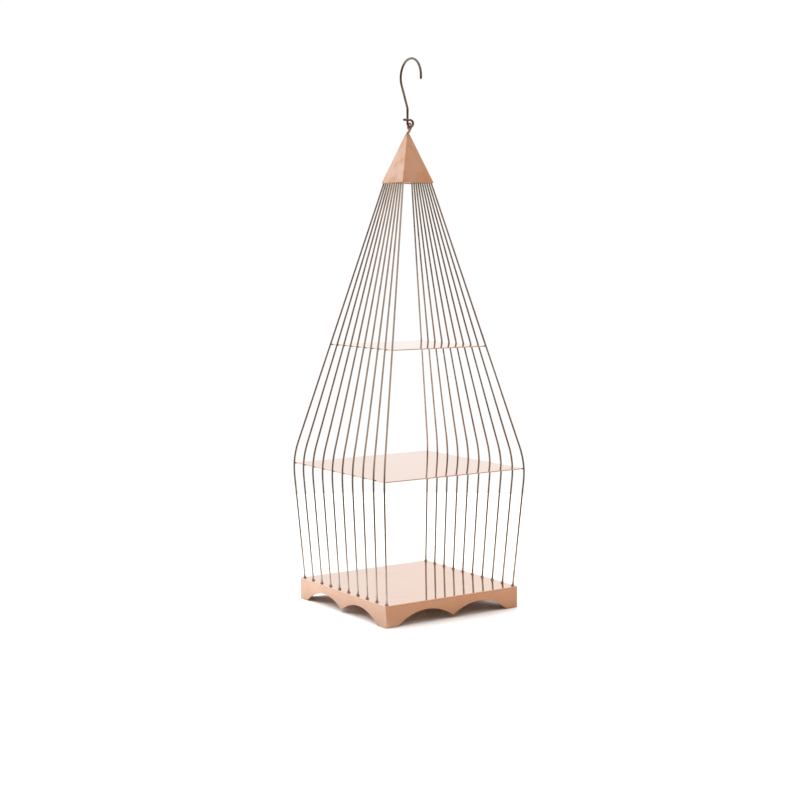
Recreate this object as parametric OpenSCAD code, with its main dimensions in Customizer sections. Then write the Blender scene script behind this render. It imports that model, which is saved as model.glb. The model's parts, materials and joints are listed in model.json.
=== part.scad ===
// Open bird-cage display stand: a square base tray on scalloped aprons, two facing panels of bent
// wires that carry two shelves, a folded pyramid cap, and a wire hook linked to an eye on the cap.
// Origin: middle of the base, on the surface that it stands on. +Z is up, -Y is the open front,
// and the wire panels stand on the -X and +X sides.

/* [Base] */
// Side of the square base
base_w = 200; // [160:1:280]
// Height of the base tray's top face above the ground
base_h = 27; // [24:0.5:40]
// Thickness of the base's floor plate
floor_t = 1.5; // [1:0.1:3]
// Thickness of the apron sheets
apron_t = 1.5; // [1:0.1:3]
// Width of the flat foot at each end of an apron
foot_w = 18; // [12:0.5:26]
// Distance from a base corner to the crown of the nearest arch
arch_mid = 61; // [52:0.5:66]
// Height of an arch's crown above the ground
arch_rise = 16; // [10:0.5:18]

/* [Wires] */
// Number of wires in each side panel
wire_count = 10; // [4:1:12]
// Diameter of the panel wires
wire_d = 2.5; // [1.6:0.1:4]
// Distance from the base's edge in to the middle of a wire's foot
foot_inset = 4.5; // [4:0.1:8]
// How far a panel leans out between the floor and its fold
flare = 10.5; // [4:0.5:16]
// Height of the fold line above the ground
fold_z = 183; // [146:0.5:214]
// Reach of the bend along the wire, above and below the fold line
bend_reach = 22; // [12:1:48]
// Radius of the weld bead at a wire's foot
bead_r = 2.7; // [2.4:0.1:3.4]
// Height of the weld bead
bead_h = 3; // [2:0.1:4]

/* [Shelves] */
// Thickness of the shelf plates
shelf_t = 1.2; // [0.8:0.1:3]
// Height of the middle shelf's upper face above the ground
middle_shelf_z = 177.1; // [140:0.1:230]
// Height of the top shelf's upper face above the ground
top_shelf_z = 330; // [290:1:380]
// Depth to which a shelf's edge is soldered onto a wire
solder_bite = 0.15; // [0.05:0.05:0.3]

/* [Cap] */
// Height of the cap's lower edge above the ground
cap_z = 532; // [440:1:640]
// Side of the cap at its lower edge
cap_w = 47; // [45:0.5:60]
// Height of the cap
cap_h = 60; // [45:1:80]
// Side of the cap's flat tip
tip_w = 4; // [3.8:0.1:6]
// Thickness of the cap's sheet, measured level
cap_t = 0.8; // [0.5:0.1:1.2]
// Thickness of the plate inside the cap that the wires end on
crown_t = 1.2; // [0.8:0.1:2]
// Depth of that plate's lower face inside the cap
crown_depth = 0.8; // [0.4:0.1:2]
// Gap between the outer side of a wire's end and the cap's wall
wire_gap = 0.2; // [0.15:0.05:0.8]

/* [Eye and hook] */
// Diameter of the eye's stem
stem_d = 3.2; // [2.4:0.1:3.6]
// Depth of the stem inside the cap
stem_depth = 7; // [4:0.5:12]
// Height of the middle of the eye above the cap's tip
eye_rise = 9.6; // [9.3:0.1:16]
// Radius of the two small bends that carry the stem over to the eye
stem_bend_r = 3; // [2.6:0.1:3.2]
// Radius of the eye, to the middle of its wire
eye_r = 3.8; // [3.6:0.1:5]
// Diameter of the eye's wire
eye_d = 2.4; // [2:0.1:2.6]
// Diameter of the hook's wire
hook_d = 3; // [2.4:0.1:3.2]
// Radius of the loop at the hook's lower end, to the middle of its wire
loop_r = 4.2; // [4:0.1:6]
// Gap between the eye's wire and the inside of the hook's loop
link_gap = 0.3; // [0.2:0.05:0.5]
// Length of the loop's tail, from the loop's top
tail_l = 10.5; // [8:0.5:12]
// Length of the straight shank above the loop
shank_l = 17; // [12:0.5:30]
// Radius of the bend between the straight shank and the lean
shank_bend_r = 6; // [4:0.5:9]
// Radius of the hook's crook, to the middle of its wire
crook_r = 22; // [16:0.5:28]
// Distance from the shank's line to the middle of the crook
crook_offset = 7; // [2:0.5:12]
// Angle at which the shank leans away under the crook
lean_angle = 24; // [15:1:30]
// Length of the straight end beyond the crook
hook_end_l = 5; // [1:0.5:12]

/* [Hidden] */
fine = 48;
past = 2;                                   // overrun of a cut past the face that it opens
bend_swell = 0.02;                          // how much thicker, in radius, a wire is in its bends
bend_lap = 0.3;                             // how far a straight stretch runs into a bend
jog_l = 1.5;                                // straight wire between the two bends of the stem's jog
stem_top_l = 0.5;                           // straight wire between the jog and the eye
wire_r = wire_d / 2;
hook_r = hook_d / 2;
half = base_w / 2;

// Panel line, as the level distance from the axis to the middle of the wires
foot_x = half - foot_inset;
fold_x = foot_x + flare;
crown_z = cap_z + crown_depth;
crown_half = cap_half(crown_z) - cap_t;
crown_x = crown_half - wire_gap - wire_r;
lean_out = (fold_x - foot_x) / (fold_z - base_h);
lean_in = (fold_x - crown_x) / (crown_z - fold_z);
out_angle = atan(lean_out);
in_angle = atan(lean_in);
fold_r = bend_reach / tan((out_angle + in_angle) / 2);
fold_low_z = fold_z - bend_reach * cos(out_angle);
fold_high_z = fold_z + bend_reach * cos(in_angle);
fold_mid_z = fold_low_z + fold_r * sin(out_angle);
fold_mid_x = fold_x - bend_reach * sin(out_angle) - fold_r * cos(out_angle);

// Eye and hook
tip_z = cap_z + cap_h;
eye_z = tip_z + eye_rise;
eye_x = hook_r + link_gap + eye_d / 2;      // the eye stands beside the line of stem and shank
limb_z = eye_z + eye_r;                     // middle of the eye's top, which the loop goes round
jog_angle = jog_turn();
jog_rise = 2 * stem_bend_r * sin(jog_angle) + jog_l * cos(jog_angle) + stem_top_l;
lean_w = crook_r * cos(lean_angle) - crook_offset - shank_bend_r * (1 - cos(lean_angle));
lean_l = lean_w / sin(lean_angle);

left_wires = [for (i = [1:wire_count]) str("left_wire_", i)];
right_wires = [for (i = [1:wire_count]) str("right_wire_", i)];

// Half the cap's outer width at a height
function cap_half(z) = cap_w / 2 - (z - cap_z) * (cap_w - tip_w) / 2 / cap_h;

// Level distance from the axis to the middle of the wires, at a height
function panel_x(z) =
    z < fold_low_z ? foot_x + (z - base_h) * lean_out
    : z > fold_high_z ? fold_x - (z - fold_z) * lean_in
    : fold_mid_x + sqrt(pow(fold_r, 2) - pow(z - fold_mid_z, 2));

// Half the width of a shelf whose upper face is at a height and whose edges are soldered to the wires
function shelf_half(z) =
    let (lean = panel_x(z + 0.5) - panel_x(z - 0.5))
    panel_x(z) - wire_r * sqrt(1 + pow(lean, 2)) + solder_bite;

// Place of a wire across its panel, from -1 at the front to 1 at the back
function spread(i) = -1 + 2 * (i - 1) / (wire_count - 1);

// Angle at which two stem bends and the straight between them carry the stem over to the eye
function jog_turn() =
    let (reach = sqrt(pow(2 * stem_bend_r, 2) + pow(jog_l, 2)))
    acos((2 * stem_bend_r - eye_x) / reach) - atan(jog_l / (2 * stem_bend_r));

// A bent wire of radius r that sets out along +Z. Each step is [straight length, radius of the bend
// after it, angle of that bend towards +X, turn about the wire before the bend]; the last step is
// straight only. A bend is thicker than its neighbours by the swell, and they lap into it.
module bent_wire(steps, r, i = 0) {
    straight = steps[i][0];
    lap = i > 0 ? bend_lap : 0;
    if (i == len(steps) - 1) {
        translate([0, 0, -lap]) cylinder(h = straight + lap, r = r, $fn = fine);
    } else {
        bend_r = steps[i][1];
        angle = abs(steps[i][2]);
        side = sign(steps[i][2]);
        translate([0, 0, -lap]) cylinder(h = straight + lap + bend_lap, r = r, $fn = fine);
        translate([0, 0, straight]) rotate([0, 0, steps[i][3]]) {
            mirror([side > 0 ? 1 : 0, 0, 0]) translate([-bend_r, 0, 0]) rotate([90, 0, 0])
                rotate_extrude(angle = angle, $fn = 4 * fine)
                    translate([bend_r, 0]) circle(r = r + bend_swell, $fn = fine);
            translate([side * bend_r * (1 - cos(angle)), 0, bend_r * sin(angle)])
                rotate([0, side * angle, 0]) bent_wire(steps, r, i + 1);
        }
    }
}

// One sheet of the base's skirt, along the front edge, mitred at both ends
module apron() {
    arch_r = (pow(arch_mid - foot_w, 2) + pow(arch_rise, 2)) / (2 * arch_rise);
    h = base_h - floor_t;
    intersection() {
        translate([0, apron_t - half, 0]) rotate([90, 0, 0]) linear_extrude(apron_t) difference() {
            translate([-half, 0]) square([base_w, h]);
            for (side = [-1, 1])
                translate([side * (half - arch_mid), arch_rise - arch_r])
                    circle(r = arch_r, $fn = 4 * fine);
        }
        linear_extrude(h) polygon([
            [-half, -half], [half, -half],
            [half - apron_t, apron_t - half], [apron_t - half, apron_t - half]]);
    }
}

// A flat square plate with its upper face at top
module plate(half_w, top, t) {
    translate([-half_w, -half_w, top - t]) cube([2 * half_w, 2 * half_w, t]);
}

// One wire of the +X panel: k is its place from front to back. It rises from the floor, bends
// at the fold line and runs in to the plate in the cap, all in one upright plane.
module wire(k) {
    s = sqrt(1 + k * k);
    a = atan(s * lean_out);
    b = atan(s * lean_in);
    bend_r = bend_reach / tan((a + b) / 2);
    low_l = (fold_z - base_h) / cos(a) - bend_reach;
    high_l = (crown_z - fold_z) / cos(b) - bend_reach;
    rotate([0, 0, atan(k)]) difference() {
        translate([s * foot_x, 0, base_h]) rotate([0, a, 0]) translate([0, 0, -past]) union()
            bent_wire([[past + low_l, bend_r, -a - b, 0], [high_l + past]], wire_r);
        translate([s * foot_x - 2 * wire_d, -wire_d, base_h - 2 * past])
            cube([4 * wire_d, 2 * wire_d, 2 * past]);
        translate([s * crown_x - 2 * wire_d, -wire_d, crown_z])
            cube([4 * wire_d, 2 * wire_d, 2 * past]);
    }
}

// The weld bead round the foot of a wire of the +X panel
module weld_bead(k) {
    s = sqrt(1 + k * k);
    rotate([0, 0, atan(k)]) difference() {
        translate([s * foot_x, 0, base_h]) rotate([0, atan(s * lean_out), 0]) rotate_extrude($fn = fine)
            polygon([[wire_r, -past / 2], [bead_r, -past / 2], [bead_r, 0.35 * bead_h],
                [0.55 * bead_r + 0.45 * wire_r, 0.75 * bead_h], [wire_r, bead_h]]);
        translate([s * foot_x - 2 * bead_r, -2 * bead_r, base_h - 2 * past])
            cube([4 * bead_r, 4 * bead_r, 2 * past]);
    }
}

// A four-sided pyramid standing on z, with half widths low_half and high_half, h high
module pyramid(z, low_half, high_half, h) {
    translate([0, 0, z]) intersection_for (turn = [0, 90]) rotate([90, 0, turn])
        linear_extrude(2 * low_half, center = true)
            polygon([[-low_half, 0], [low_half, 0], [high_half, h], [-high_half, h]]);
}

module floor_plate() {
    color("#EBCDBE") plate(half, base_h, floor_t);
}

module apron_side(turn) {
    color("#C9916F") rotate([0, 0, turn]) apron();
}

module left_wire(i) {
    color("#8E7566") mirror([1, 0, 0]) wire(spread(i));
}

module right_wire(i) {
    color("#8E7566") wire(spread(i));
}

module weld_beads() {
    for (i = [1:wire_count]) weld_bead(spread(i));
}

module left_weld_beads() {
    color("#7A5F50") mirror([1, 0, 0]) weld_beads();
}

module right_weld_beads() {
    color("#7A5F50") weld_beads();
}

// Plate whose edges are soldered to the wires just under their fold
module middle_shelf() {
    color("#F0E2D8") plate(shelf_half(middle_shelf_z), middle_shelf_z, shelf_t);
}

module top_shelf() {
    color("#F0E2D8") plate(shelf_half(top_shelf_z), top_shelf_z, shelf_t);
}

// Plate inside the cap's lower edge, which the wires end on
module crown_plate() {
    color("#C9916F") pyramid(crown_z, crown_half, cap_half(crown_z + crown_t) - cap_t, crown_t);
}

// Folded sheet pyramid, open below, with a hole for the eye's stem in its tip
module cap() {
    low_half = cap_w / 2;
    open_h = cap_h - 2 * cap_t;
    color("#C98B66") difference() {
        pyramid(cap_z, low_half, tip_w / 2, cap_h);
        pyramid(cap_z - past, cap_half(cap_z - past) - cap_t, cap_half(cap_z + open_h) - cap_t,
            past + open_h);
        translate([0, 0, cap_z]) cylinder(h = cap_h + past, r = stem_d / 2, $fn = fine);
    }
}

// Stem through the cap's tip, which jogs to the side, with a round eye standing across its end
module cap_eye() {
    color("#A87358") union() {
        translate([0, 0, tip_z - stem_depth]) bent_wire([
            [stem_depth + eye_rise - eye_r - jog_rise, stem_bend_r, jog_angle, 0],
            [jog_l, stem_bend_r, -jog_angle, 0],
            [stem_top_l]], stem_d / 2);
        translate([eye_x, 0, eye_z]) rotate([0, 90, 0])
            rotate_extrude($fn = fine) translate([eye_r, 0]) circle(r = eye_d / 2, $fn = fine);
    }
}

// Hook of one round wire: the loop's tail, the side loop through the cap's eye, the shank in line
// with the eye's stem, a leaning stretch and the crook, which opens to the front. The tail lies
// across the shank and is brazed to it.
module hook() {
    color("#5A4C42") translate([loop_r - tail_l, 0, limb_z + loop_r]) rotate([0, 90, 0]) union()
        bent_wire([
            [tail_l, loop_r, 270, 0],
            [shank_l, shank_bend_r, -lean_angle, -90],
            [lean_l, crook_r, 180 + lean_angle, 0],
            [hook_end_l]], hook_r);
}

floor_plate();
apron_side(0);  // apron_front
apron_side(90);  // apron_right
apron_side(180);  // apron_back
apron_side(270);  // apron_left
for (i = [1:wire_count]) {
    left_wire(i);
    right_wire(i);
}
left_weld_beads();
right_weld_beads();
middle_shelf();
top_shelf();
crown_plate();
cap();
cap_eye();
hook();
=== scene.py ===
"""Rose gold bird-cage display stand: studio, finishes, rounded sheet edges, welds and the hook's rod."""

import json
import math

import bpy
from mathutils import Matrix, Vector


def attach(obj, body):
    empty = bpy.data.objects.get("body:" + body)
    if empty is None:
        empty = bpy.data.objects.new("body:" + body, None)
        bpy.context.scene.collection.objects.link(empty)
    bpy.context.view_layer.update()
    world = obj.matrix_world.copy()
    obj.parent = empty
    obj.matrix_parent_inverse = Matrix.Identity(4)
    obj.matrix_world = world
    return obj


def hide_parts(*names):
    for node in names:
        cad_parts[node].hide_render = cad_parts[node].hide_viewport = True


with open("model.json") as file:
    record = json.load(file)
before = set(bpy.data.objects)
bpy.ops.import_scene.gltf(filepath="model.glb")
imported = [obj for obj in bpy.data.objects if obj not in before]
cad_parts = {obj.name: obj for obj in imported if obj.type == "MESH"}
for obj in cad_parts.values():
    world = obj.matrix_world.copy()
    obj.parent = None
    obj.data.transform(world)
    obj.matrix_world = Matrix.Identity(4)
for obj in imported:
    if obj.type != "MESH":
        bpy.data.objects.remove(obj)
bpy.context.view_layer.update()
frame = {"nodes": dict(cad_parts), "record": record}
MM = 0.001
WHITE = (1.0, 1.0, 1.0)


# ---------------------------------------------------------------------------------------------
# Node trees

class Value:
    """A shader socket on which Python's operators work: each one adds its Math node."""

    def __init__(self, tree, socket):
        self.tree = tree
        self.socket = socket

    def math(self, operation, *terms):
        return self.tree.node("ShaderNodeMath", {"operation": operation}, dict(enumerate(terms)))

    def __add__(self, other):
        return self.math("ADD", self, other)

    def __radd__(self, other):
        return self.math("ADD", other, self)

    def __mul__(self, other):
        return self.math("MULTIPLY", self, other)

    def __rmul__(self, other):
        return self.math("MULTIPLY", other, self)


class Tree:
    """A node tree built by calls: node() adds one node and gives back one of its outputs."""

    def __init__(self, node_tree):
        self.tree = node_tree
        node_tree.nodes.clear()

    def node(self, kind, settings=None, sockets=None, output=0):
        made = self.tree.nodes.new(kind)
        for name, value in (settings or {}).items():
            setattr(made, name, value)
        for name, value in (sockets or {}).items():
            self.put(made.inputs[name], value)
        return Value(self, made.outputs[output]) if made.outputs else None

    def put(self, socket, value):
        if isinstance(value, Value):
            self.tree.links.new(value.socket, socket)
        elif socket.type == "RGBA":
            socket.default_value = (*value, 1)
        else:
            socket.default_value = value

    def band(self, value, start, end):
        """Rises smoothly from 0 to 1 as value goes from start to end."""
        return self.node("ShaderNodeMapRange", {"interpolation_type": "SMOOTHSTEP"}, {
            "Value": value, "From Min": start, "From Max": end})

    def mix(self, share, low, high):
        """A colour between low and high."""
        return self.node("ShaderNodeMix", {"data_type": "RGBA"}, {0: share, 6: low, 7: high}, output=2)

    def along(self, place, direction):
        """How far a place lies along a direction, or the cosine of the angle between two directions."""
        return self.node("ShaderNodeVectorMath", {"operation": "DOT_PRODUCT"}, {0: place, 1: direction},
                         output="Value")


# ---------------------------------------------------------------------------------------------
# Camera, light and floor

CAMERA_AIM = Vector((0, 0, 0.2602))
CAMERA_AZIMUTH = -34.4
CAMERA_ELEVATION = 5.633
CAMERA_DISTANCE = 1.9757
CAMERA_LENS = 70.37
CAMERA_SHIFT = -0.0094

STUDIO_FLOOR_R = 0.9
FLOOR_DROP = 0.0002             # how far the studio floor lies under the stand's feet


def direction(azimuth, elevation):
    """The way towards a point that far round from -Y and that far above the horizon, in degrees."""
    a, e = math.radians(azimuth), math.radians(elevation)
    return Vector((math.sin(a) * math.cos(e), -math.cos(a) * math.cos(e), math.sin(e)))


UP = Vector((0, 0, 1))
FRONT = direction(CAMERA_AZIMUTH, 0)
FRONT_RIGHT = direction(45, 0)


def add_camera():
    """A long lens from the front left, a little above the stand's middle."""
    back = direction(CAMERA_AZIMUTH, CAMERA_ELEVATION)
    data = bpy.data.cameras.new("camera")
    data.lens = CAMERA_LENS
    data.shift_x = CAMERA_SHIFT
    data.clip_start = 0.05
    data.clip_end = 60
    camera = bpy.data.objects.new("camera", data)
    camera.location = CAMERA_AIM + back * CAMERA_DISTANCE
    camera.rotation_mode = "QUATERNION"
    camera.rotation_quaternion = back.to_track_quat("Z", "Y")
    bpy.context.scene.collection.objects.link(camera)
    bpy.context.scene.camera = camera


def add_world():
    """White to the eye. To the metal it is a studio: white behind, tan at the side, dark in front."""
    world = bpy.data.worlds.new("studio")
    bpy.context.scene.world = world
    world.use_nodes = True
    t = Tree(world.node_tree)
    way = t.node("ShaderNodeTexCoord", output="Generated")
    front = t.along(way, FRONT)
    height = t.along(way, UP)
    side = t.mix(t.band(front, -0.30, 0.25), WHITE, (0.58, 0.42, 0.30))
    dark = t.mix(t.band(front, 0.35, 0.75) * t.band(height, 0.30, 0.02), side, (0.11, 0.10, 0.09))
    studio = t.mix(t.band(height, 0.50, 0.90), dark, WHITE)
    seen = t.node("ShaderNodeLightPath", output="Is Camera Ray")
    sky = t.node("ShaderNodeBackground", sockets={"Color": t.mix(seen, studio, WHITE), "Strength": 1.02})
    t.node("ShaderNodeOutputWorld", sockets={"Surface": sky})


def add_lights():
    """A broad soft key from the back left and a weaker fill from the back right, both high up.

    The polished metal does not mirror them, so that the plates do not burn out.
    """
    for name, power, azimuth, elevation in (("key", 2.2, -120, 55), ("fill", 1.4, 130, 60)):
        data = bpy.data.lights.new(name, "SUN")
        data.energy = power
        data.angle = math.radians(60)
        lamp = bpy.data.objects.new(name, data)
        lamp.visible_glossy = False
        lamp.rotation_mode = "QUATERNION"
        lamp.rotation_quaternion = direction(azimuth, elevation).to_track_quat("Z", "Y")
        bpy.context.scene.collection.objects.link(lamp)


def add_floor():
    """Round white studio floor: to the polished metal it carries painted shade, tan at the front right
    and dark in front.
    """
    bpy.ops.mesh.primitive_circle_add(vertices=96, radius=STUDIO_FLOOR_R, fill_type="NGON",
                                      location=(0, 0, -FLOOR_DROP))
    floor = bpy.context.object
    floor.name = "studio_floor"
    material = bpy.data.materials.new("floor_paper")
    material.use_nodes = True
    t = Tree(material.node_tree)
    place = t.node("ShaderNodeTexCoord", output="Object")
    # painted shade: the floor's colour as seen in reflections is tan at the front right and near black
    # in front, standing in for a darker studio
    right = t.band(t.along(place, FRONT_RIGHT), -0.02, 0.06)
    front = t.band(t.along(place, FRONT), 0.16, 0.40)
    mirrored_painted_shade = t.mix(front, t.mix(right, (0.75, 0.75, 0.75), (0.53, 0.42, 0.33)), (0.03, 0.03, 0.03))
    glossy = t.node("ShaderNodeLightPath", output="Is Glossy Ray")
    skin = t.node("ShaderNodeBsdfPrincipled", sockets={
        "Base Color": t.mix(glossy, (0.95, 0.95, 0.95), mirrored_painted_shade),
        "Roughness": 0.9, "Specular IOR Level": 0.0})
    t.node("ShaderNodeOutputMaterial", sockets={"Surface": skin})
    floor.data.materials.append(material)


add_camera()
add_world()
add_lights()
add_floor()
bpy.context.scene.view_settings.view_transform = "Standard"


# ---------------------------------------------------------------------------------------------
# Finishes

class Finish(Tree):
    """A metal with one Principled shader, whose patterns lie in the piece's own coordinates."""

    def __init__(self, name):
        self.material = bpy.data.materials.new(name)
        self.material.use_nodes = True
        super().__init__(self.material.node_tree)
        self.place = self.node("ShaderNodeTexCoord", output="Object")
        surface = self.node("ShaderNodeBsdfPrincipled", sockets={"Metallic": 1.0})
        self.inputs = surface.socket.node.inputs
        self.node("ShaderNodeOutputMaterial", sockets={"Surface": surface})

    def set(self, colour, roughness, relief, depth):
        """Colour and roughness may vary; relief is a height pattern whose unit is depth metres."""
        self.put(self.inputs["Base Color"], colour)
        self.put(self.inputs["Roughness"], roughness)
        self.put(self.inputs["Normal"], self.node("ShaderNodeBump", sockets={
            "Strength": 1.0, "Distance": depth, "Height": relief}))

    def noise(self, per_metre, detail=3.0, stretch=(1, 1, 1)):
        """Soft noise between 0 and 1, so many patches to the metre, drawn out where stretch is small."""
        scaled = self.node("ShaderNodeMapping", sockets={"Vector": self.place, "Scale": stretch})
        return self.node("ShaderNodeTexNoise", sockets={
            "Vector": scaled, "Scale": per_metre, "Detail": detail, "Roughness": 0.6})

    def specks(self, per_metre, size):
        """Small round specks, 1 at their middles."""
        far = self.node("ShaderNodeTexVoronoi", sockets={"Vector": self.place, "Scale": per_metre},
                        output="Distance")
        return self.band(far, size, 0.0)


def polished_plate(name):
    """Mirror-polished plating with hairline wipe marks, faint smears and a few dust specks."""
    f = Finish(name)
    smear = f.band(f.noise(24, 5), 0.50, 0.72)
    hair = f.band(f.noise(700, 2, (0.04, 1, 1)), 0.60, 0.72) * f.band(f.noise(15), 0.45, 0.65)
    cross = f.band(f.noise(600, 2, (1, 0.05, 1)), 0.62, 0.74) * f.band(f.noise(11), 0.5, 0.65)
    dust = f.specks(160, 0.08) * f.band(f.noise(40), 0.58, 0.62)
    f.set(f.mix(smear, (0.83, 0.58, 0.455), (0.80, 0.54, 0.42)),
          0.035 + 0.05 * smear + 0.06 * hair + 0.06 * cross + 0.2 * dust,
          hair + cross + dust, 0.0002 * MM)
    return f.material


def apron_sheet(name):
    """Rolled and polished sheet: faint lines along it, cloudy smears, scuffs near the ground."""
    f = Finish(name)
    cloud = f.band(f.noise(22, 5), 0.40, 0.72)
    rolled = f.noise(1600, 3, (0.03, 0.03, 1))
    height = f.along(f.place, UP)
    scuff = f.band(height, 4 * MM, 0.0) * f.band(f.noise(350, 4), 0.48, 0.58)
    f.set(f.mix(scuff, f.mix(cloud, (0.675, 0.452, 0.342), (0.63, 0.40, 0.29)), (0.60, 0.40, 0.30)),
          0.10 + 0.10 * cloud + 0.05 * rolled + 0.14 * scuff,
          rolled + 0.5 * scuff, 0.003 * MM)
    return f.material


def cap_sheet(name):
    """Sheet brushed from the lower edge to the tip, toned by the torch near the braze."""
    f = Finish(name)
    cloud = f.band(f.noise(48, 5), 0.38, 0.70)
    brushed = f.noise(2200, 3, (1, 1, 0.03))
    height = f.along(f.place, UP)
    heat = f.band(height + 0.012 * f.noise(90), 0.588, 0.602)
    f.set(f.mix(heat, f.mix(cloud, (0.80, 0.55, 0.43), (0.72, 0.41, 0.24)), (0.58, 0.31, 0.19)),
          0.12 + 0.10 * cloud + 0.08 * brushed + 0.08 * heat,
          brushed, 0.004 * MM)
    return f.material


def panel_wire(name):
    """Drawn wire: fine lines along it, duller patches, a little darker where it was welded."""
    f = Finish(name)
    cloud = f.band(f.noise(70, 5), 0.38, 0.70)
    drawn = f.noise(3000, 3, (1, 1, 0.015))
    height = f.along(f.place, UP)
    heat = f.band(height + 0.004 * f.noise(200), 0.037, 0.029)
    f.set(f.mix(heat, f.mix(cloud, (0.62, 0.585, 0.555), (0.52, 0.475, 0.44)), (0.38, 0.30, 0.25)),
          0.10 + 0.10 * cloud + 0.10 * drawn + 0.12 * heat,
          drawn, 0.004 * MM)
    return f.material


def weld(name):
    """Weld and braze metal: satin, mottled and darker than the sheet."""
    f = Finish(name)
    mottle = f.band(f.noise(450, 4), 0.35, 0.65)
    grain = f.noise(1800, 4)
    f.set(f.mix(mottle, (0.46, 0.31, 0.24), (0.30, 0.195, 0.15)),
          0.26 + 0.16 * mottle + 0.08 * grain,
          grain + mottle, 0.03 * MM)
    return f.material


def eye_wire(name):
    """Copper-brown wire with torch colours."""
    f = Finish(name)
    tone = f.band(f.noise(220, 4), 0.35, 0.65)
    drawn = f.noise(2600, 3)
    f.set(f.mix(tone, (0.58, 0.33, 0.22), (0.38, 0.205, 0.14)),
          0.16 + 0.12 * tone + 0.06 * drawn,
          drawn, 0.004 * MM)
    return f.material


def hook_wire(name):
    """Darker wire, polished, with a few paler rubbed streaks."""
    f = Finish(name)
    cloud = f.band(f.noise(110, 5), 0.38, 0.68)
    fine = f.noise(2400, 3)
    rub = f.band(f.noise(500, 3, (1, 1, 0.3)), 0.58, 0.68)
    f.set(f.mix(rub, f.mix(cloud, (0.24, 0.20, 0.175), (0.17, 0.14, 0.12)), (0.42, 0.36, 0.32)),
          0.12 + 0.12 * cloud + 0.05 * fine + 0.08 * rub,
          fine + rub, 0.004 * MM)
    return f.material


FINISHES = {make.__name__: make(make.__name__) for make in (
    polished_plate, apron_sheet, cap_sheet, panel_wire, weld, eye_wire, hook_wire)}

for part in frame["record"]["subparts"]:
    mesh = frame["nodes"][part["node"]].data
    mesh.materials.clear()
    mesh.materials.append(FINISHES[part["material_slot"]])


# ---------------------------------------------------------------------------------------------
# Modelling tools

def only(*objects):
    """Selects these objects and makes the last of them active."""
    bpy.ops.object.select_all(action="DESELECT")
    for obj in objects:
        obj.select_set(True)
    bpy.context.view_layer.objects.active = objects[-1]


def settle(obj):
    """Puts the object's place, turn and scale into its mesh."""
    only(obj)
    bpy.ops.object.transform_apply(location=True, rotation=True, scale=True)
    return obj


def apply(obj, kind, **settings):
    """Adds a modifier with these settings and applies it."""
    only(obj)
    modifier = obj.modifiers.new(kind.lower(), kind)
    for name, value in settings.items():
        setattr(modifier, name, value)
    bpy.ops.object.modifier_apply(modifier=modifier.name)


def soften(obj, width, angle=35):
    """Rounds every edge that is sharper than angle."""
    apply(obj, "BEVEL", width=width, segments=3, limit_method="ANGLE", angle_limit=math.radians(angle))


def finish_piece(obj, name, slot, body, nodes=(), smooth=35, flat=False):
    """Closes the mesh, turns its faces outward, and fits the piece into the frame."""
    only(obj)
    obj.name = obj.data.name = name
    bpy.ops.object.mode_set(mode="EDIT")
    bpy.ops.mesh.select_all(action="SELECT")
    bpy.ops.mesh.remove_doubles(threshold=0.002 * MM)
    bpy.ops.mesh.normals_make_consistent(inside=False)
    bpy.ops.object.mode_set(mode="OBJECT")
    bpy.ops.object.shade_smooth_by_angle(angle=math.radians(smooth))
    if flat:
        apply(obj, "WEIGHTED_NORMAL")
    obj.data.materials.clear()
    obj.data.materials.append(FINISHES[slot])
    if nodes:
        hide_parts(*nodes)
    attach(obj, body)


def block(wide, deep, high, place):
    bpy.ops.mesh.primitive_cube_add(size=1, location=place, scale=(wide, deep, high))
    return settle(bpy.context.object)


def pick(obj, kind, test):
    """Goes into edit mode with only the edges or faces that pass the test selected."""
    only(obj)
    bpy.ops.object.mode_set(mode="EDIT")
    bpy.ops.mesh.select_mode(type=kind)
    bpy.ops.mesh.select_all(action="DESELECT")
    bpy.ops.object.mode_set(mode="OBJECT")
    for element in obj.data.edges if kind == "EDGE" else obj.data.polygons:
        element.select = test(element)
    bpy.ops.object.mode_set(mode="EDIT")


def round_uprights(obj, radius):
    """Rounds the four upright edges of a block."""
    corners = obj.data.vertices

    def upright(edge):
        low, high = (corners[i].co for i in edge.vertices)
        return abs(low.z - high.z) > 0.9 * (low - high).length

    pick(obj, "EDGE", upright)
    bpy.ops.mesh.bevel(offset=radius, segments=6, affect="EDGES")
    bpy.ops.object.mode_set(mode="OBJECT")


def open_ends(obj, upper=True):
    """Deletes the bottom face, and the top face too if upper is true."""
    pick(obj, "FACE", lambda face: face.normal.z < -0.9 or (upper and face.normal.z > 0.9))
    bpy.ops.mesh.delete(type="ONLY_FACE")
    bpy.ops.object.mode_set(mode="OBJECT")


def cut(obj, tool):
    """Takes the tool's shape out of the object, and removes the tool."""
    apply(obj, "BOOLEAN", operation="DIFFERENCE", object=tool, solver="EXACT")
    bpy.data.objects.remove(tool)


def turned(rings, place, sides, lean=None):
    """A round solid from (radius, height) rings, closed at both ends, its axis turned to lean.

    The first ring lies at place, whatever its height; the others follow it by the steps in height.
    """
    bpy.ops.mesh.primitive_circle_add(vertices=sides, radius=rings[0][0], fill_type="NGON")
    obj = bpy.context.object
    bpy.ops.object.mode_set(mode="EDIT")
    bpy.ops.mesh.select_all(action="SELECT")
    for (radius, height), (wider, higher) in zip(rings, rings[1:]):
        bpy.ops.mesh.extrude_region_move(TRANSFORM_OT_translate={"value": (0, 0, higher - height)})
        bpy.ops.transform.resize(value=(wider / radius, wider / radius, 1))
    bpy.ops.object.mode_set(mode="OBJECT")
    obj.location = place
    if lean is not None:
        obj.rotation_mode = "QUATERNION"
        obj.rotation_quaternion = lean.to_track_quat("Z", "Y")
    return settle(obj)


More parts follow.
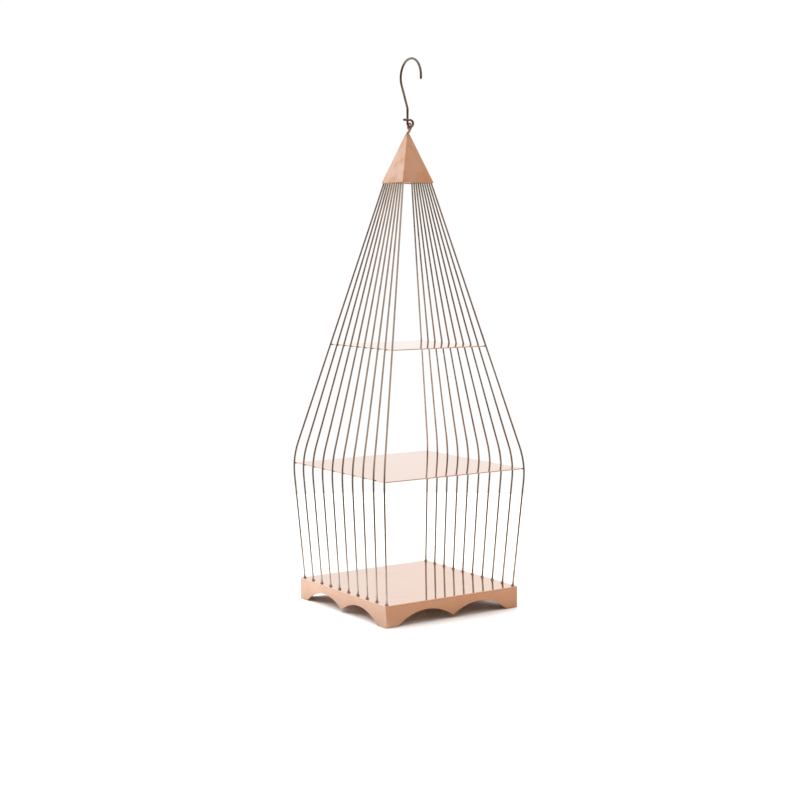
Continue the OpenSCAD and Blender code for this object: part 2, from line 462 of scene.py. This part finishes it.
def blob(place, size):
    """A rounded lump of solder with these half sizes."""
    bpy.ops.mesh.primitive_ico_sphere_add(subdivisions=3, radius=1, location=place, scale=size)
    return settle(bpy.context.object)


def join(objects):
    only(*objects)
    bpy.ops.object.join()
    return bpy.context.object


LUMPS = bpy.data.textures.new("lumps", "CLOUDS")
LUMPS.noise_scale = 1.6 * MM
LUMPS.noise_depth = 2


def roughen(obj, depth):
    """Makes a weld or solder surface lumpy."""
    apply(obj, "DISPLACE", texture=LUMPS, texture_coords="GLOBAL", strength=depth, mid_level=0.5)


# ---------------------------------------------------------------------------------------------
# Sizes that the pieces share with the frame, in metres

def half_width(node):
    """How far a node reaches along +X."""
    return max(corner.co.x for corner in frame["nodes"][node].data.vertices)


BASE_HALF, BASE_H, FLOOR_T, APRON_T = 100 * MM, 27 * MM, 1.5 * MM, 1.5 * MM
CORNER_R, SHELF_CORNER_R = 1.8 * MM, 1.0 * MM
FOOT_W, ARCH_MID, ARCH_RISE = 18 * MM, 61 * MM, 16 * MM
FOOT_X, FLARE, FOLD_Z = 95.5 * MM, 10.5 * MM, 183 * MM
LEAN_OUT = FLARE / (FOLD_Z - BASE_H)
WIRE_R = 1.25 * MM
SHELF_T, MIDDLE_SHELF_Z, TOP_SHELF_Z = 1.2 * MM, 177.1 * MM, 330 * MM
MIDDLE_HALF, TOP_HALF = half_width("middle_shelf"), half_width("top_shelf")
CAP_Z, CAP_H, CAP_T, TIP_HALF = 532 * MM, 60 * MM, 0.8 * MM, 2 * MM
CAP_HALF = half_width("cap")
TIP_Z = CAP_Z + CAP_H
EYE_X, EYE_Z, EYE_R = 3.0 * MM, 601.6 * MM, 3.8 * MM
WIRES = 10
SPREAD = [-1 + 2 * i / (WIRES - 1) for i in range(WIRES)]      # places across a panel


# ---------------------------------------------------------------------------------------------
# Base, shelves and cap

def add_skirt():
    """The four aprons as they are made: sheet folded round the base, with the arches cut in it."""
    high = BASE_H - FLOOR_T
    skirt = block(2 * BASE_HALF, 2 * BASE_HALF, high, (0, 0, high / 2))
    round_uprights(skirt, CORNER_R)
    open_ends(skirt)
    apply(skirt, "SOLIDIFY", thickness=APRON_T, offset=-1)
    arch_r = ((ARCH_MID - FOOT_W) ** 2 + ARCH_RISE ** 2) / (2 * ARCH_RISE)
    for turn in (0, math.pi / 2):
        for side in (-1, 1):
            middle = Vector((side * (BASE_HALF - ARCH_MID), 0, ARCH_RISE - arch_r))
            place = Matrix.Rotation(turn, 3, "Z") @ middle
            bpy.ops.mesh.primitive_cylinder_add(vertices=192, radius=arch_r, depth=3 * BASE_HALF,
                                                location=place, rotation=(math.pi / 2, 0, turn))
            cut(skirt, settle(bpy.context.object))
    soften(skirt, 0.28 * MM)
    finish_piece(skirt, "skirt", "apron_sheet", "cage",
                 [f"apron_{side}" for side in ("front", "right", "back", "left")], flat=True)


def add_plate(name, half, top, thick, corner):
    plate = block(2 * half, 2 * half, thick, (0, 0, top - thick / 2))
    round_uprights(plate, corner)
    soften(plate, 0.3 * MM)
    finish_piece(plate, f"{name}_sheet", "polished_plate", "cage", [name], flat=True)


def add_cap():
    """The folded cap, with its folds and its lower edge rounded."""
    bpy.ops.mesh.primitive_cone_add(
        vertices=4, radius1=CAP_HALF * math.sqrt(2), radius2=TIP_HALF * math.sqrt(2), depth=CAP_H,
        location=(0, 0, CAP_Z + CAP_H / 2), rotation=(0, 0, math.pi / 4))
    cap = settle(bpy.context.object)
    open_ends(cap, upper=False)
    apply(cap, "SOLIDIFY", thickness=0.945 * CAP_T, offset=-1, use_even_offset=True)
    soften(cap, 0.32 * MM, angle=25)
    finish_piece(cap, "cap_shell", "cap_sheet", "cage", ["cap"], flat=True)


add_skirt()
add_plate("floor_plate", BASE_HALF, BASE_H, FLOOR_T, CORNER_R)
add_plate("middle_shelf", MIDDLE_HALF, MIDDLE_SHELF_Z, SHELF_T, SHELF_CORNER_R)
add_plate("top_shelf", TOP_HALF, TOP_SHELF_Z, SHELF_T, SHELF_CORNER_R)
add_cap()


# ---------------------------------------------------------------------------------------------
# Weld beads, solder and braze

# Outline of a weld bead round a wire's foot: radius and height in millimetres
BEAD = [(2.55, -0.3), (2.5, 0.0), (2.35, 0.25), (2.05, 0.55), (1.75, 0.95), (1.5, 1.5), (1.28, 2.3)]


def add_beads(side, word):
    """The weld beads round the feet of one panel's wires."""
    beads = []
    for i, k in enumerate(SPREAD):
        lean = Vector((side * LEAN_OUT, k * LEAN_OUT, 1))
        fuller = 1 + 0.15 * math.sin(7.1 * i + side)
        rings = [(r * MM, h * MM * fuller) for r, h in BEAD]
        foot = Vector((side * FOOT_X, k * FOOT_X, BASE_H)) + lean * rings[0][1]
        beads.append(turned(rings, foot, 28, lean))
    beads = join(beads)
    roughen(beads, 0.3 * MM)
    finish_piece(beads, f"{word}_foot_welds", "weld", "cage", [f"{word}_weld_beads"], smooth=60)


def add_solder(name, half, z):
    """Solder between a shelf's side edges and the wires that pass them."""
    lumps = []
    for side in (-1, 1):
        for i, k in enumerate(SPREAD):
            inward = 1.5 * MM if abs(k) == 1 else 0         # keeps the end lumps on the shelf's corners
            place = (side * half, k * (half + WIRE_R - inward), z - SHELF_T / 2)
            long = 1.9 + 0.15 * math.sin(9 * i + side)
            high = 1.0 + 0.08 * math.sin(5 * i - side)
            lumps.append(blob(place, (0.85 * MM, long * MM, high * MM)))
    lumps = join(lumps)
    roughen(lumps, 0.12 * MM)
    finish_piece(lumps, name, "weld", "cage", smooth=60)


def add_braze():
    """Braze collars on the cap's tip and in the foot of the eye."""
    tip = turned([(r * MM, h * MM) for r, h in
                  ((1.95, -0.2), (2.0, 0.1), (1.9, 0.35), (1.75, 0.6), (1.62, 0.9), (1.5, 1.0))],
                 (0, 0, TIP_Z), 32)
    neck = turned([(r * MM, h * MM) for r, h in
                   ((1.5, -1.6), (1.7, -1.3), (1.85, -0.8), (1.8, -0.2), (1.5, 0.5), (1.0, 0.9))],
                  (EYE_X, 0, EYE_Z - EYE_R), 32)
    collars = join([tip, neck])
    roughen(collars, 0.3 * MM)
    finish_piece(collars, "eye_braze", "weld", "cage", smooth=60)


add_beads(-1, "left")
add_beads(1, "right")
add_solder("middle_shelf_solder", MIDDLE_HALF, MIDDLE_SHELF_Z)
add_solder("top_shelf_solder", TOP_HALF, TOP_SHELF_Z)
add_braze()


# ---------------------------------------------------------------------------------------------
# Hook

HOOK_R, LOOP_R = 1.5 * MM, 4.2 * MM
LOOP_Z = EYE_Z + EYE_R
TAIL_L, SHANK_L, SHANK_BEND_R = 10.5 * MM, 17 * MM, 6 * MM
CROOK_R, CROOK_OFFSET, LEAN, END_L = 22 * MM, 7 * MM, math.radians(24), 5 * MM


class Rod:
    """A round wire that grows from its end: straight stretches and bends, then a rounded tip."""

    def __init__(self, place, forward, radius):
        self.at = Vector(place)
        self.forward = Vector(forward).normalized()
        self.radius = radius
        small = 0.45 * radius
        facing = self.forward.to_track_quat("Z", "Y").to_euler()
        bpy.ops.mesh.primitive_circle_add(vertices=28, radius=small, fill_type="NGON",
                                          location=self.at, rotation=facing)
        self.obj = settle(bpy.context.object)
        bpy.ops.object.mode_set(mode="EDIT")
        bpy.ops.mesh.select_all(action="SELECT")
        for step, width in ((0.06, 0.75), (0.14, 0.93), (0.2, 1.0)):
            self.straight(step * radius)
            self.widen(width * radius / small)
            small = width * radius

    def widen(self, ratio):
        bpy.ops.transform.resize(value=(ratio, ratio, ratio), center_override=self.at)

    def straight(self, length):
        step = self.forward * length
        bpy.ops.mesh.extrude_region_move(TRANSFORM_OT_translate={"value": step})
        self.at += step

    def bend(self, radius, angle, axis):
        """Turns by angle about axis, whose direction gives the side that the wire bends to."""
        axis = Vector(axis).normalized()
        middle = self.at + axis.cross(self.forward) * radius
        steps = max(3, round(math.degrees(angle) / 6))
        bpy.ops.mesh.spin(steps=steps, angle=-angle, center=middle, axis=axis, use_normal_flip=False)
        turn = Matrix.Rotation(angle, 3, axis)
        self.at = middle + turn @ (self.at - middle)
        self.forward = turn @ self.forward

    def end(self):
        """Rounds the tip off."""
        before = 1.0
        for step, width in ((0.25, 0.96), (0.25, 0.82), (0.2, 0.58), (0.1, 0.3)):
            self.straight(step * self.radius)
            self.widen(width / before)
            before = width
        bpy.ops.object.mode_set(mode="OBJECT")
        return self.obj


def add_hook():
    """Tail, side loop through the eye, straight shank, lean and crook, all of one rod, and the braze
    where the tail crosses the shank."""
    lean_w = CROOK_R * math.cos(LEAN) - CROOK_OFFSET - SHANK_BEND_R * (1 - math.cos(LEAN))
    rod = Rod((LOOP_R - TAIL_L, 0, LOOP_Z + LOOP_R), (1, 0, 0), HOOK_R)
    rod.straight(TAIL_L - 0.4 * HOOK_R)
    rod.bend(LOOP_R, math.radians(270), (0, 1, 0))
    rod.straight(SHANK_L)
    rod.bend(SHANK_BEND_R, LEAN, (-1, 0, 0))
    rod.straight(lean_w / math.sin(LEAN))
    rod.bend(CROOK_R, math.pi + LEAN, (1, 0, 0))
    rod.straight(END_L - 0.8 * HOOK_R)
    hook = rod.end()
    finish_piece(hook, "hook_rod", "hook_wire", "hook", ["hook"], smooth=60)
    braze = blob((0, 0, LOOP_Z + LOOP_R), (2.0 * MM, 1.75 * MM, 2.0 * MM))
    roughen(braze, 0.3 * MM)
    finish_piece(braze, "hook_braze", "weld", "hook", smooth=60)


add_hook()
